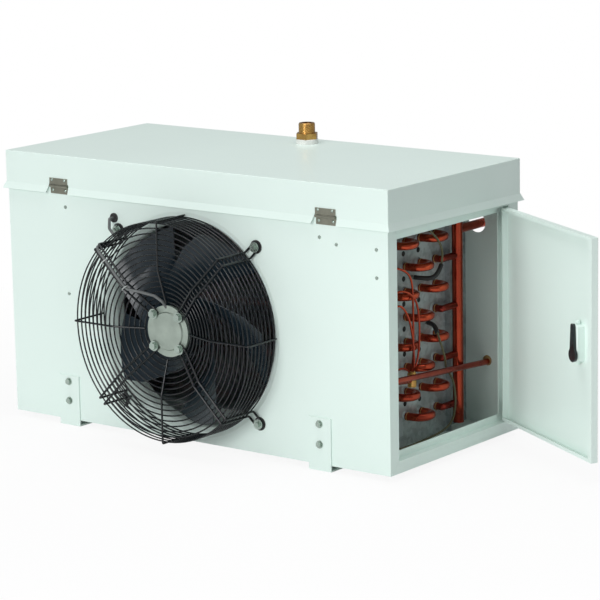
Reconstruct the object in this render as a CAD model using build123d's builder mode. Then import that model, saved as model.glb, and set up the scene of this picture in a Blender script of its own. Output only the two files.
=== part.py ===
"""Walk-in unit cooler, standing on its hangers as a display piece, drain pan on top.

All sizes are in millimetres. +Z is up. X runs along the cabinet, Y from the fan
side (front, -Y) to the coil inlet side (rear, +Y). The origin is the centre of the
four hanger holes on the plane the hanger feet stand on.
"""
from build123d import *
from math import asin, atan2, cos, degrees, hypot, pi, radians, sin
import os

os.makedirs("parts", exist_ok=True)

# ---- driving dimensions: cabinet ------------------------------------------
cabinet_left = -475.0        # the fan and hangers sit left of the cabinet's middle
cabinet_right = 490.0
cabinet_depth = 442.0
floor_gap = 12.0             # cabinet bottom above the feet
wall_height = 500.0          # side walls run up inside the drain pan
skin = 1.5                   # painted sheet
front_y = -cabinet_depth / 2
rear_y = cabinet_depth / 2
bottom_z = floor_gap
top_z = bottom_z + wall_height
cabinet_middle = (cabinet_left + cabinet_right) / 2

# end frame and door opening
border_front = 28.0
border_rear = 36.0
border_bottom = 24.0
border_top = 38.0
rebate_depth = 16.0
stop_width = 14.0
mitre_gap = 0.3
opening_front = front_y + border_front
opening_rear = rear_y - border_rear
opening_bottom = bottom_z + border_bottom
opening_top = top_z - border_top

# door and its hinges
door_gap = 3.0
door_thick = 14.0
door_lip = 12.0
door_turn = 60.0             # how far the door stands open at rest
door_front = opening_front + door_gap
door_rear = opening_rear - door_gap
door_bottom = opening_bottom + door_gap
door_top = opening_top - door_gap
door_hinge_height = 36.0
door_knuckle_r = 2.6
door_leaf = 1.2
door_axis_x = cabinet_right + door_knuckle_r
door_axis_y = opening_rear - door_gap / 2
door_hinge_z = (door_bottom + 19.0, door_top - 19.0)

# latch
latch_y = door_front + 60.0
latch_z = 238.0
latch_body = (30.0, 72.0)    # across, tall
latch_deep = 16.5
spindle_r = 4.0
lever_length = 60.0
lever_thick = 5.0
running = 0.06               # radial clearance of shafts and pins

# drain pan
pan_top = 563.0
pan_sheet = 1.2
pan_overhang = 3.0           # pan wall outside the cabinet wall
pan_flare = 6.0
flare_height = 14.0
rim_front = 484.5
rim_drop = 6.0               # the skirt is deeper at the rear
pan_hinge_length = 48.0
pan_hinge_pitch = 680.0
pan_knuckle_r = 3.1
pan_leaf = 1.5
pan_leaf_height = 13.0
pan_axis_z = rim_front + flare_height + 1.0
pan_axis_y = front_y - pan_knuckle_r - 0.4

# drain outlet
drain_x, drain_y = 8.0, 165.0
thread_r = 16.6
thread_length = 21.0
drain_bore_r = 13.0
hex_flats = 41.0
hex_high = 12.0
washer_r, washer_high = 23.0, 10.0

# coil
tube_pitch = 50.0
tube_columns, tube_rows = 4, 8
tube_r = 8.0
first_row_z = 74.0
first_column_y = -72.0
sheet_right = 380.5          # inner face of the right-hand tube sheet
sheet_left = -415.0
sheet_thick = 2.0
sheet_front, sheet_rear = -103.0, 121.0
sheet_bottom, sheet_top = bottom_z + skin, 460.0
sheet_flange = 12.0
fin_pitch, fin_thick = 7.0, 0.3
fin_deep = tube_columns * tube_pitch
fin_high = tube_rows * tube_pitch
tube_stub = 6.0              # tube beyond the sheet, before a bend
bend_sides = 8
header_r, branch_r, suction_r, liquid_r = 11.0, 7.0, 9.0, 6.0
header_x, header_y = sheet_right + sheet_thick + 20.0, 134.0
header_bottom, header_top = 32.0, 462.0
suction_z = 425.0
suction_hole_x, suction_hole_r = 393.5, 20.0
liquid_hole_x, liquid_hole_z, liquid_hole_r = 416.0, 144.0, 11.0
pipe_beyond_wall = 16.0
capillary_r = 2.2
heater_r = 4.2
heater_places = ((3.0, 349.0), (53.0, 249.0))
rear_wall_left_edge = 358.0

# fan and motor
fan_z = 248.0
throat_r = 206.0
bell_r = 228.0
throat_deep = 42.0
blade_count = 5
blade_tip_r = 199.0
blade_thick = 1.6
rotor_r = 50.0
rotor_length = 60.0
rotor_front = -272.0
blade_middle_y = -212.0
flange_r, flange_thick = 51.5, 6.0
flange_front = -285.0
raised_r, raised_thick = 39.0, 3.0
motor_bolt_pcd = 91.0
shaft_r = 5.0

# guard
guard_front = -307.5
guard_r = 218.8
guard_dish_front = -285.0    # rings nearest the motor lie level with its flange
dish_r, rise_r = 57.0, 126.0
inner_ring_r = 59.0
ring_pitch = 10.6
side_pitch = 11.4
side_rings = 7
wire = 3.0
strut = 4.6
arm_half_gap = 8.0
foot_r = 249.0

# hangers
hanger_pitch_x = 648.0
hanger_hole_y = 190.0
hanger_plate = (54.0, 105.0, 3.0)
hanger_foot = 62.0
hanger_hole_r = 5.5
hanger_bolts_z = (52.0, 92.5)

# cable entry
entry_x, entry_z = -187.0, 447.6
cable_r = 3.0


def save(part, name):
    """Label a finished sub-part and write its file."""
    part.label = name
    export_step(part, "parts/" + name + ".step")


def plate(x0, x1, y0, y1, z0, z1):
    """A box between two corners, added to the part being built."""
    with Locations(((x0 + x1) / 2, (y0 + y1) / 2, (z0 + z1) / 2)):
        Box(x1 - x0, y1 - y0, z1 - z0)


def bar_along(points, radius, sides=0):
    """Sweep a round (or many-sided) bar along straight runs with mitred corners."""
    with BuildLine() as path:
        Polyline(*points)
    first = Vector(*points[0])
    along = Vector(*points[1]) - first
    with BuildSketch(Plane(origin=first, z_dir=along)) as section:
        if sides:
            RegularPolygon(radius, sides)
        else:
            Circle(radius)
    sweep(sections=section.sketch, path=path.line, transition=Transition.RIGHT)


def pipe_along(points, radius):
    """Sweep a round pipe along a smooth curve through the points."""
    with BuildLine() as path:
        Spline(*points)
    with BuildSketch(Plane(origin=path.line @ 0, z_dir=path.line % 0)) as section:
        Circle(radius)
    sweep(sections=section.sketch, path=path.line)


def hex_bolt(place, out, flats, head_high, washer, washer_thick):
    """A hexagon head on a washer, standing on a face; added to the part being built."""
    base = Plane(origin=place, z_dir=out)
    with BuildSketch(base) as ring:
        RegularPolygon(washer, 12)
    extrude(to_extrude=ring.sketch, amount=washer_thick)
    with BuildSketch(base.offset(washer_thick)) as head:
        RegularPolygon(flats / 2, 6, major_radius=False)
    extrude(to_extrude=head.sketch, amount=head_high)


# ---- cabinet ----------------------------------------------------------------
def front_panel():
    """Flat fan panel with a bell-mouthed throat and a turned-in bottom edge."""
    with BuildPart() as panel:
        plate(cabinet_left, cabinet_right, front_y, front_y + skin, bottom_z, top_z)
        plate(cabinet_left + skin, cabinet_right - rebate_depth, front_y + skin,
              front_y + 22, bottom_z + skin, bottom_z + 2 * skin)
        with BuildSketch(Plane.XZ.offset(-front_y)):
            with Locations((0, fan_z)):
                Circle(bell_r)
        extrude(amount=-skin, mode=Mode.SUBTRACT)
        # the bell mouth, turned about the fan axis
        with BuildSketch(Plane.YZ):
            with BuildLine():
                Polyline((front_y, fan_z + bell_r), (front_y + 3, fan_z + bell_r - 11),
                         (front_y + 12, fan_z + throat_r + 3), (front_y + 22, fan_z + throat_r),
                         (front_y + throat_deep, fan_z + throat_r),
                         (front_y + throat_deep, fan_z + throat_r + skin),
                         (front_y + 22, fan_z + throat_r + skin),
                         (front_y + 13, fan_z + throat_r + 3 + skin),
                         (front_y + 4.2, fan_z + bell_r - 10),
                         (front_y + skin, fan_z + bell_r + 1),
                         (front_y, fan_z + bell_r + 1), close=True)
            make_face()
        revolve(axis=Axis((0, 0, fan_z), (0, 1, 0)))
        with Locations(Plane(origin=(entry_x, front_y, entry_z), z_dir=(0, -1, 0))):
            Hole(6.0)
        # notch behind each pan hinge is in the pan; rivet holes stay closed by rivets
    return panel.part


def end_panel_left():
    """Left-hand end: a sheet with edges turned in."""
    inner = cabinet_left + skin
    with BuildPart() as panel:
        plate(cabinet_left, inner, front_y + skin, rear_y, bottom_z, top_z)
        plate(inner, inner + 20, front_y + skin, front_y + 2 * skin, bottom_z + 2 * skin, top_z)
        plate(inner, inner + 20, front_y + 2 * skin, rear_y - skin, top_z - skin, top_z)
    return panel.part


def end_frame():
    """Right-hand end: four mitred members, each a border, a return and a door stop."""
    face_x = cabinet_right
    stop_x = face_x - rebate_depth
    y0, y1, z0, z1 = opening_front, opening_rear, opening_bottom, opening_top
    outer_front, outer_rear = front_y + skin, rear_y - skin
    with BuildPart() as frame:
        plate(face_x - skin, face_x, outer_front, outer_rear, bottom_z, top_z)
        plate(face_x - skin, face_x, y0, y1, z0, z1)
        plate(stop_x - skin, face_x, y0 - skin, y1 + skin, z0 - skin, z1 + skin)
        with Locations((face_x, (y0 + y1) / 2, (z0 + z1) / 2)):
            Box(4 * rebate_depth, y1 - y0 - 2 * stop_width, z1 - z0 - 2 * stop_width,
                mode=Mode.SUBTRACT)
        with Locations((face_x, (y0 + y1) / 2, (z0 + z1) / 2)):
            Box(2 * rebate_depth, y1 - y0, z1 - z0, mode=Mode.SUBTRACT)
        corners = (((outer_front, bottom_z), (y0, z0)), ((outer_rear, bottom_z), (y1, z0)),
                   ((outer_front, top_z), (y0, z1)), ((outer_rear, top_z), (y1, z1)))
        for (ya, za), (yb, zb) in corners:
            run = hypot(yb - ya, zb - za)
            turn = degrees(atan2(zb - za, yb - ya))
            with BuildSketch(Plane.YZ.offset(stop_x - 2 * skin)):
                with Locations((ya, za)):
                    with Locations(Location((0, 0, 0), (0, 0, turn))):
                        Rectangle(4 * run, mitre_gap)
            extrude(amount=rebate_depth + 4 * skin, mode=Mode.SUBTRACT)
    return frame.part


def base_panel():
    """Bottom tray with a turned-up edge at the rear, carrying the rear hangers."""
    inner_left = cabinet_left + skin
    inner_right = cabinet_right - rebate_depth - 2 * skin
    with BuildPart() as base:
        plate(inner_left, inner_right, front_y + skin, rear_y, bottom_z, bottom_z + skin)
        plate(inner_left, inner_right, rear_y - skin, rear_y, bottom_z + skin, sheet_bottom + 46)
    return base.part


def rear_wall(left, right, holes):
    """A rear wall over one end space, its inner edge turned forward."""
    turned = left if holes else right - skin
    with BuildPart() as wall:
        plate(left, right, rear_y - 2 * skin, rear_y - skin, sheet_bottom, top_z - 2 * skin)
        plate(turned, turned + skin, rear_y - 18, rear_y - 2 * skin, sheet_bottom, top_z - 2 * skin)
        for x, z, r in holes:
            with Locations(Plane(origin=(x, rear_y - skin, z), z_dir=(0, 1, 0))):
                Hole(r)
    return wall.part


def rear_top_rail(left, right):
    """The channel across the top of the open coil face."""
    with BuildPart() as rail:
        plate(left, right, rear_y - skin, rear_y, sheet_top + 4, top_z - skin)
        plate(left, right, rear_y - 30, rear_y - skin, top_z - 2 * skin, top_z - skin)
    return rail.part


# ---- coil -------------------------------------------------------------------
def column_y(column):
    return first_column_y + column * tube_pitch


def row_z(row):
    return first_row_z + row * tube_pitch


coil_middle_y = first_column_y + (tube_columns - 1) * tube_pitch / 2
coil_middle_z = first_row_z + (tube_rows - 1) * tube_pitch / 2


def fin_pack():
    """Separate aluminium fins on the tubes."""
    space = sheet_right - sheet_left - sheet_thick
    count = int(space / fin_pitch)
    with BuildPart() as fins:
        with BuildSketch(Plane.XY.offset(coil_middle_z - fin_high / 2)):
            with Locations(((sheet_right + sheet_left) / 2, coil_middle_y)):
                with GridLocations(fin_pitch, 0, count, 1):
                    Rectangle(fin_thick, fin_deep)
        extrude(amount=fin_high)
    return fins.part


def coil_tubes():
    """The straight tubes, through the fins and both tube sheets."""
    start = sheet_left - sheet_thick - tube_stub
    length = sheet_right + sheet_thick + tube_stub - start
    with BuildPart() as tubes:
        with BuildSketch(Plane.YZ.offset(start)):
            with Locations((coil_middle_y, coil_middle_z)):
                with GridLocations(tube_pitch, tube_pitch, tube_columns, tube_rows):
                    RegularPolygon(tube_r, bend_sides)
        extrude(amount=length)
    return tubes.part


def tube_sheet(inner_x, out):
    """A tube sheet with edges turned outwards and slots punched between the tubes."""
    outer_x = inner_x + out * sheet_thick
    low, high = min(inner_x, outer_x), max(inner_x, outer_x)
    tip = outer_x + out * sheet_flange
    flange = (min(outer_x, tip), max(outer_x, tip))
    with BuildPart() as sheet:
        plate(low, high, sheet_front, sheet_rear, sheet_bottom, sheet_top)
        plate(*flange, sheet_rear - sheet_thick, sheet_rear, sheet_bottom, sheet_top)
        plate(*flange, sheet_front, sheet_front + sheet_thick, sheet_bottom, sheet_top)
        plate(*flange, sheet_front, sheet_rear, sheet_top - sheet_thick, sheet_top)
        with BuildSketch(Plane.YZ.offset(low - 1)):
            with Locations(*[(column_y(1), row_z(row) + tube_pitch / 2) for row in range(7)],
                           *[(column_y(2), row_z(row) + tube_pitch / 2) for row in (0, 2, 4, 6)]):
                RegularPolygon(5.0, 8)
        extrude(amount=sheet_thick + 2, mode=Mode.SUBTRACT)
    return sheet.part


def return_bends(side_x, out, joins):
    """U bends on one end of the coil, each from one tube to its neighbour."""
    reach = 10.0
    turn_r = tube_pitch / 2
    steps = 5
    with BuildPart() as bends:
        for (column_a, row_a), (column_b, row_b) in joins:
            start = Vector(side_x, column_y(column_a), row_z(row_a))
            end = Vector(side_x, column_y(column_b), row_z(row_b))
            middle = (start + end) * 0.5
            half = start - middle
            outward = Vector(out * 1.0, 0, 0)
            points = [start]
            for step in range(steps + 1):
                angle = pi * step / steps
                points.append(middle + outward * (reach + turn_r * sin(angle)) + half * cos(angle))
            points.append(end)
            bar_along([tuple(p) for p in points], tube_r, bend_sides)
    return bends.part


right_joins = []
left_joins = []
for low_row in range(0, tube_rows, 2):
    right_joins += [((0, low_row + 1), (1, low_row + 1)), ((2, low_row + 1), (3, low_row + 1)),
                    ((1, low_row), (2, low_row))]
    left_joins += [((column, low_row), (column, low_row + 1)) for column in range(tube_columns)]
tube_end_right = sheet_right + sheet_thick + tube_stub
tube_end_left = sheet_left - sheet_thick - tube_stub


def suction_header():
    """Upright header with a cap at each end and the suction outlet to the rear."""
    outlet_end = rear_y + pipe_beyond_wall
    with BuildPart() as header:
        with Locations((header_x, header_y, (header_bottom + header_top) / 2)):
            Cylinder(header_r, header_top - header_bottom)
        with BuildSketch(Plane(origin=(header_x, header_y, suction_z), z_dir=(0, 1, 0))):
            Circle(suction_r)
        extrude(amount=outlet_end - header_y)
        with Locations(Plane(origin=(header_x, outlet_end, suction_z), z_dir=(0, 1, 0))):
            Hole(suction_r - 1.2, 60)
    return header.part


def header_branches():
    """Elbows from the last tube of each circuit to the header."""
    with BuildPart() as branches:
        for row in range(0, tube_rows, 2):
            z = row_z(row)
            end_y = header_y - header_r + 0.8
            bar_along([(tube_end_right, column_y(3), z), (header_x - 7, column_y(3), z),
                       (header_x, column_y(3) + 7, z), (header_x, end_y, z)], branch_r, bend_sides)
    return branches.part


def liquid_line():
    """Liquid line from the rear wall, round a bend behind the front upright, to the distributor."""
    end_y = rear_y + pipe_beyond_wall
    pipe_z = liquid_hole_z - 2
    with BuildPart() as line:
        bar_along([(liquid_hole_x, end_y, pipe_z), (liquid_hole_x, rear_y - 16, pipe_z),
                   (450, -141, 177), (447, -160, 177), (438, -167, 174), (430, -160, 171),
                   (427, -146, 169), (424, -64, 160)], liquid_r)
        with Locations(Plane(origin=(liquid_hole_x, end_y, pipe_z), z_dir=(0, 1, 0))):
            Hole(liquid_r - 1.0, 25)
    return line.part


feed_x, feed_y, feed_z = 424.0, -56.0, 172.0    # top of the distributor


def distributor():
    """Brass distributor block on the end of the liquid line."""
    with BuildPart() as block:
        with Locations((feed_x, feed_y, feed_z - 13)):
            Cylinder(9.0, 26.0)
        with BuildSketch(Plane.XY.offset(feed_z)):
            with Locations((feed_x, feed_y)):
                Circle(9.0)
        extrude(amount=5, taper=35)
    return block.part


def capillaries():
    """Thin copper feeds from the distributor to the first tube of each circuit."""
    end_x = tube_end_right + 9
    y = column_y(0)
    top = feed_z + 3
    routes = (
        ((feed_x - 3, feed_y, top), (430, -60, 196), (434.5, -64, 214), (434.5, -64, 330),
         (434.5, -68, 364), (433, -84, 380), (428, -108, 390), (416, -112, 388),
         (404, -92, 378), (end_x, y, row_z(6))),
        ((feed_x, feed_y + 4, top), (434, -50, 192), (436, -44, 240), (436, -47, 300),
         (436, -64, 331), (432, -96, 345), (424, -116, 340), (412, -116, 310),
         (404, -98, 282), (end_x, y, row_z(4))),
        ((feed_x + 4, feed_y - 2, top), (436, -64, 194), (439, -70, 242), (439, -80, 280),
         (437, -95, 309), (432, -113, 321), (424, -124, 300), (414, -120, 240),
         (404, -100, 185), (end_x, y, row_z(2))),
        ((feed_x - 3, feed_y - 4, top), (418, -66, 186), (407, -92, 186), (403, -106, 150),
         (402, -100, 100), (400, -86, 80), (end_x, y, row_z(0))),
    )
    with BuildPart() as feeds:
        for route in routes:
            bar_along(route, capillary_r, 6)
    return feeds.part


def inlet_cones():
    """Necked ends where the feeds enter the first tubes."""
    with BuildPart() as cones:
        for row in range(0, tube_rows, 2):
            with BuildSketch(Plane.YZ.offset(tube_end_right)):
                with Locations((column_y(0), row_z(row))):
                    RegularPolygon(tube_r, bend_sides)
            extrude(amount=9, taper=32)
    return cones.part


def heater_rods():
    """Defrost heater rods between the tubes."""
    start = sheet_left - sheet_thick - 8
    with BuildPart() as rods:
        with BuildSketch(Plane.YZ.offset(start)):
            with Locations(*heater_places):
                Circle(heater_r)
        extrude(amount=sheet_right + sheet_thick + 8 - start)
    return rods.part


rod_end = sheet_right + sheet_thick + 8


def heater_boots():
    """Moulded rubber ends of the heater leads."""
    (y1, z1), (y2, z2) = heater_places
    with BuildPart() as boots:
        bar_along([(rod_end, y1, z1), (rod_end + 12, y1 + 4, z1 - 1), (418, 22, 346),
                   (421, 42, 354), (421, 52, 370)], 4.6, 8)
        bar_along([(rod_end, y2, z2), (rod_end + 10, y2 - 3, z2), (414, 40, 246), (428, 26, 238)], 4.6, 8)
    return boots.part


terminal_x, terminal_z = 440.0, 462.0


def heater_leads():
    """Heater leads from the boots, over the coil, to the terminal block."""
    low_end = terminal_z - 20
    with BuildPart() as leads:
        bar_along([(421, 52, 370), (430, 46, 392), (437, 22, 424), (434, -4, 446), (420, -24, 470),
                    (402, -70, 482), (408, -140, 482), (terminal_x - 8, -190, 478)], 2.2, 6)
        bar_along([(428, 26, 238), (437, 22, 224), (438, 32, 200), (430, 50, 178), (412, 76, 158),
                    (402, 98, 146), (411, 108, 120), (416, 106, 74), (412, 98, 40), (404, 74, 24),
                    (404, 0, 20), (408, -90, 22), (416, -150, 36), (terminal_x, -190, 90),
                    (terminal_x + 6, -204, 300), (terminal_x + 6, -206, low_end)], 2.2, 6)
    return leads.part


def terminal_block():
    """Terminal block on the inside of the fan panel, hidden by the front upright."""
    with BuildPart() as block:
        plate(terminal_x - 24, terminal_x + 24, front_y + skin, front_y + skin + 26,
              terminal_z - 20, terminal_z + 20)
        fillet(block.edges().filter_by(Axis.Y), 4)
        with GridLocations(12, 0, 4, 1):
            with Locations((terminal_x, front_y + skin + 26, terminal_z + 20)):
                Box(8, 8, 6, mode=Mode.SUBTRACT)
    return block.part


# ---- fan guard ---------------------------------------------------------------
def wire_ring(radius, y_front):
    """One wire ring of the guard, many-sided so the file stays light."""
    sides = 18 if radius < 110 else 28
    with BuildSketch(Plane.XZ.offset(-y_front)) as ring:
        with Locations((0, fan_z)):
            RegularPolygon(radius + wire / 2, sides)
            RegularPolygon(radius - wire / 2, sides, mode=Mode.SUBTRACT)
    extrude(to_extrude=ring.sketch, amount=-wire)


def guard_depth(radius):
    """Front face of the rings at a radius: a cone round the motor, then flat."""
    share = min(max((radius - dish_r) / (rise_r - dish_r), 0), 1)
    return guard_dish_front + share * (guard_front - guard_dish_front)


def guard_front_rings():
    """Concentric rings of the guard's front."""
    with BuildPart() as rings:
        count = round((guard_r - inner_ring_r) / ring_pitch)
        for index in range(count + 1):
            radius = inner_ring_r + index * (guard_r - inner_ring_r) / count
            wire_ring(radius, guard_depth(radius))
    return rings.part


def guard_side_rings():
    """Rings of the guard's side, back to the fan panel."""
    with BuildPart() as rings:
        for index in range(1, side_rings + 1):
            wire_ring(guard_r, guard_front + index * side_pitch)
    return rings.part


def guard_spokes():
    """Single spokes at the quarters, laid over the rings and down the guard's side."""
    over = strut / 2
    outside = guard_r + wire / 2 + strut / 2
    with BuildPart() as spokes:
        for quarter in range(4):
            turn = Plane(origin=(0, 0, fan_z), x_dir=(cos(quarter * pi / 2), 0, sin(quarter * pi / 2)),
                         z_dir=(0, -1, 0))
            points = [(inner_ring_r - wire, 0, guard_dish_front - over), (rise_r, 0, guard_front - over),
                      (outside, 0, guard_front - over), (outside, 0, front_y - 3)]
            bar_along([guard_point(turn, *p) for p in points], strut / 2, 4)
    return spokes.part


def guard_point(turn, out, across, y):
    """A point of the guard given in a turned frame: radius, sideways, depth."""
    place = turn.from_local_coords(Vector(out, across, 0))
    return (place.X, y, place.Z)


def guard_arms():
    """Pairs of heavier wires that carry the motor and end in feet on the fan panel."""
    over = strut / 2
    outside = guard_r + wire / 2 + strut / 2
    with BuildPart() as arms:
        for quarter in range(4):
            angle = pi / 4 + quarter * pi / 2
            turn = Plane(origin=(0, 0, fan_z), x_dir=(cos(angle), 0, sin(angle)), z_dir=(0, -1, 0))
            for side in (-arm_half_gap, arm_half_gap):
                points = [(raised_r + 2, side, guard_dish_front - over), (dish_r, side, guard_dish_front - over),
                          (rise_r, side, guard_front - over), (outside, side, guard_front - over),
                          (outside, side, front_y - 7), (outside + 3, side, front_y - strut / 2 - 2),
                          (foot_r + 8, side, front_y - strut / 2 - 2)]
                bar_along([guard_point(turn, *p) for p in points], strut / 2, 4)
    return arms.part


def guard_feet():
    """Rubber washers under the guard feet."""
    with BuildPart() as feet:
        for quarter in range(4):
            angle = pi / 4 + quarter * pi / 2
            place = (foot_r * cos(angle), front_y, fan_z + foot_r * sin(angle))
            with BuildSketch(Plane(origin=place, z_dir=(0, -1, 0))):
                RegularPolygon(arm_half_gap + strut / 2 + 3.3, 16)
                Circle(3.05, mode=Mode.SUBTRACT)
            extrude(amount=2.0)
    return feet.part


def guard_bolts():
    """Bolts that clamp the guard feet."""
    with BuildPart() as bolts:
        for quarter in range(4):
            angle = pi / 4 + quarter * pi / 2
            place = (foot_r * cos(angle), front_y - 2.0 - strut, fan_z + foot_r * sin(angle))
            hex_bolt(place, (0, -1, 0), 10, 5, 10.5, 1.5)
            with BuildSketch(Plane(origin=place, z_dir=(0, 1, 0))):
                Circle(3.0)
            extrude(amount=strut + 2.0)
    return bolts.part


# ---- motor and fan -------------------------------------------------------------
def motor_flange():
    """Fixed front flange of the motor, with bearing seats in its neck."""
    with BuildPart() as flange:
        with BuildSketch(Plane.YZ):
            with BuildLine():
                Polyline((flange_front, fan_z + raised_r), (flange_front - raised_thick, fan_z + raised_r - 2),
                         (flange_front - raised_thick, fan_z), (flange_front + flange_thick, fan_z))
                Polyline((flange_front + flange_thick, fan_z),
                         (flange_front + flange_thick, fan_z + flange_r),
                         (flange_front, fan_z + flange_r), (flange_front, fan_z + raised_r))
            make_face()
        revolve(axis=Axis((0, 0, fan_z), (0, 1, 0)))
    return flange.part


def stator():
    """Fixed core of the motor, inside the rotor bell."""
    with BuildPart() as core:
        with BuildSketch(Plane.XZ.offset(-(flange_front + flange_thick))):
            with Locations((0, fan_z)):
                Circle(rotor_r - 14)
                Circle(12.0, mode=Mode.SUBTRACT)
        extrude(amount=-(rotor_length - 8))
    return core.part


def bearings():
    """Two bearings pressed in the stator bore."""
    back = flange_front + flange_thick
    with BuildPart() as pair:
        for y in (back + 4, back + rotor_length - 20):
            with BuildSketch(Plane.XZ.offset(-y)):
                with Locations((0, fan_z)):
                    Circle(12.0)
                    Circle(shaft_r + running, mode=Mode.SUBTRACT)
            extrude(amount=-8)
    return pair.part


def motor_bolts():
    """Bolts through the motor flange and the ends of the guard arms."""
    with BuildPart() as bolts:
        for quarter in range(4):
            angle = pi / 4 + quarter * pi / 2
            place = (motor_bolt_pcd / 2 * cos(angle), flange_front - strut,
                     fan_z + motor_bolt_pcd / 2 * sin(angle))
            hex_bolt(place, (0, -1, 0), 13, 6, 10.5, 1.6)
            with BuildSketch(Plane(origin=place, z_dir=(0, 1, 0))):
                Circle(4.0)
            extrude(amount=strut)
    return bolts.part


def rotor_bell():
    """Turning bell of the external-rotor motor."""
    back = rotor_front + rotor_length
    with BuildPart() as bell:
        with BuildSketch(Plane.YZ):
            with BuildLine():
                Polyline((rotor_front, fan_z + rotor_r), (back - 5, fan_z + rotor_r),
                         (back, fan_z + rotor_r - 5), (back, fan_z + shaft_r),
                         (back - 5, fan_z + shaft_r), (back - 5, fan_z + rotor_r - 9),
                         (rotor_front, fan_z + rotor_r - 9), close=True)
            make_face()
        revolve(axis=Axis((0, 0, fan_z), (0, 1, 0)))
    return bell.part


def shaft():
    """Fan shaft, fixed in the bell and running in the bearings."""
    back = rotor_front + rotor_length
    with BuildPart() as rod:
        with BuildSketch(Plane.XZ.offset(-back)):
            with Locations((0, fan_z)):
                Circle(shaft_r)
        extrude(amount=back - (flange_front + flange_thick + 1.5))
    return rod.part


def fan_blades():
    """Swept sheet blades, twisted from root to tip, welded on the bell."""
    stations = ((rotor_r - 3, 70, 44, 0), (72, 92, 40, 24), (100, 111, 35, 45), (150, 138, 28, 60),
                (blade_tip_r + 9, 146, 22, 70.5))
    with BuildPart() as blades:
        for index in range(blade_count):
            lead = radians(196 + index * 360 / blade_count)
            with BuildPart(mode=Mode.PRIVATE) as blade:
                for radius, chord, pitch_angle, sweep_angle in stations:
                    angle = lead - radians(sweep_angle)
                    out = Vector(cos(angle), 0, sin(angle))
                    tangent = Vector(-sin(angle), 0, cos(angle))
                    slope = radians(pitch_angle)
                    across = tangent * cos(slope) - Vector(0, 1, 0) * sin(slope)
                    place = Vector(0, blade_middle_y, fan_z) + out * radius
                    with BuildSketch(Plane(origin=place, x_dir=across, z_dir=out)):
                        Rectangle(chord, blade_thick)
                loft(ruled=True)
                with Locations(Location((0, blade_middle_y, fan_z), (90, 0, 0))):
                    Cylinder(blade_tip_r, 300, mode=Mode.INTERSECT)
                    Cylinder(rotor_r - 0.4, 300, mode=Mode.SUBTRACT)
            add(blade.part)
    return blades.part


# ---- motor cable -----------------------------------------------------------------
def motor_cable():
    """Motor cable: along one guard arm, through the panel, to the terminal block."""
    angle = 3 * pi / 4
    turn = Plane(origin=(0, 0, fan_z), x_dir=(cos(angle), 0, sin(angle)), z_dir=(0, -1, 0))
    beside = 0
    clear_of_rings = (213, beside, -243.3)
    outside = [(50, beside, -281), (62, beside, -279), (124, beside, -300), (190, beside, -300),
               (205, beside, -291), (210.5, beside, -276), (211, beside, -252), clear_of_rings,
               (235, beside, -243), (258, 2, -241)]
    points = [guard_point(turn, *p) for p in outside]
    points += [(entry_x, -236, entry_z), (entry_x, front_y + 8, entry_z), (entry_x + 4, -206, entry_z + 14),
               (-150, -203, 486), (0, -203, 492), (250, -203, 492), (390, -203, 484),
               (terminal_x - 24, -206, 466)]
    with BuildPart() as cable:
        bar_along(points, cable_r, 8)
    return cable.part


def cable_grommet():
    """Rubber grommet where the motor cable goes through the fan panel."""
    with BuildPart() as grommet:
        with BuildSketch(Plane(origin=(entry_x, front_y, entry_z), z_dir=(0, -1, 0))):
            Circle(9.5)
            Circle(cable_r + 0.1, mode=Mode.SUBTRACT)
        extrude(amount=3)
        with BuildSketch(Plane(origin=(entry_x, front_y, entry_z), z_dir=(0, 1, 0))):
            Circle(6.0)
            Circle(cable_r + 0.1, mode=Mode.SUBTRACT)
        extrude(amount=skin)
    return grommet.part


# ---- hangers ----------------------------------------------------------------------
def hangers():
    """Angle brackets: a plate on the cabinet and a foot turned back under it."""
    wide, tall, thick = hanger_plate
    with BuildPart() as brackets:
        for x in (-hanger_pitch_x / 2, hanger_pitch_x / 2):
            for side in (-1, 1):
                face = side * cabinet_depth / 2
                high = tall if side < 0 else 50
                plate(x - wide / 2, x + wide / 2, min(face, face + side * thick),
                      max(face, face + side * thick), 0, high)
                plate(x - wide / 2, x + wide / 2, min(face, face - side * hanger_foot),
                      max(face, face - side * hanger_foot), 0, thick)
                with Locations(Plane(origin=(x, side * hanger_hole_y, thick), z_dir=(0, 0, 1))):
                    Hole(hanger_hole_r)
    return brackets.part


def hanger_bolts():
    """Bolts of the hanger plates."""
    thick = hanger_plate[2]
    with BuildPart() as bolts:
        for x in (-hanger_pitch_x / 2, hanger_pitch_x / 2):
            for z in hanger_bolts_z:
                hex_bolt((x, front_y - thick, z), (0, -1, 0), 10, 4.5, 8, 1.2)
            for shift in (-14, 14):
                hex_bolt((x + shift, rear_y + thick, 36), (0, 1, 0), 10, 4.5, 8, 1.2)
    return bolts.part


rivet_places = ((-319.0, 457.0), (-317.0, 277.6), (329.7, 458.0), (369.7, 447.5), (463.0, 446.8), (463.2, 393.0))


def panel_rivets():
    """Blind rivets in the fan panel."""
    with BuildPart() as rivets:
        for x, z in rivet_places:
            with BuildSketch(Plane(origin=(x, front_y, z), z_dir=(0, -1, 0))):
                RegularPolygon(4.0, 8)
            extrude(amount=1.2, taper=30)
    return rivets.part


# ---- drain pan --------------------------------------------------------------------
pan_left, pan_right = cabinet_left - pan_overhang, cabinet_right + pan_overhang
pan_front, pan_rear = front_y - pan_overhang, rear_y + pan_overhang
rim_slope = degrees(asin(rim_drop / (pan_rear - pan_front)))
hinge_places = [cabinet_middle - pan_hinge_pitch / 2, cabinet_middle + pan_hinge_pitch / 2]


def rim_plane(above):
    """Plane parallel to the sloping rim, at a height above it."""
    at_middle = rim_front - rim_drop / 2
    return Plane(origin=(cabinet_middle, 0, at_middle + above), x_dir=(1, 0, 0),
                 z_dir=(0, sin(radians(rim_slope)), cos(radians(rim_slope))))


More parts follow.
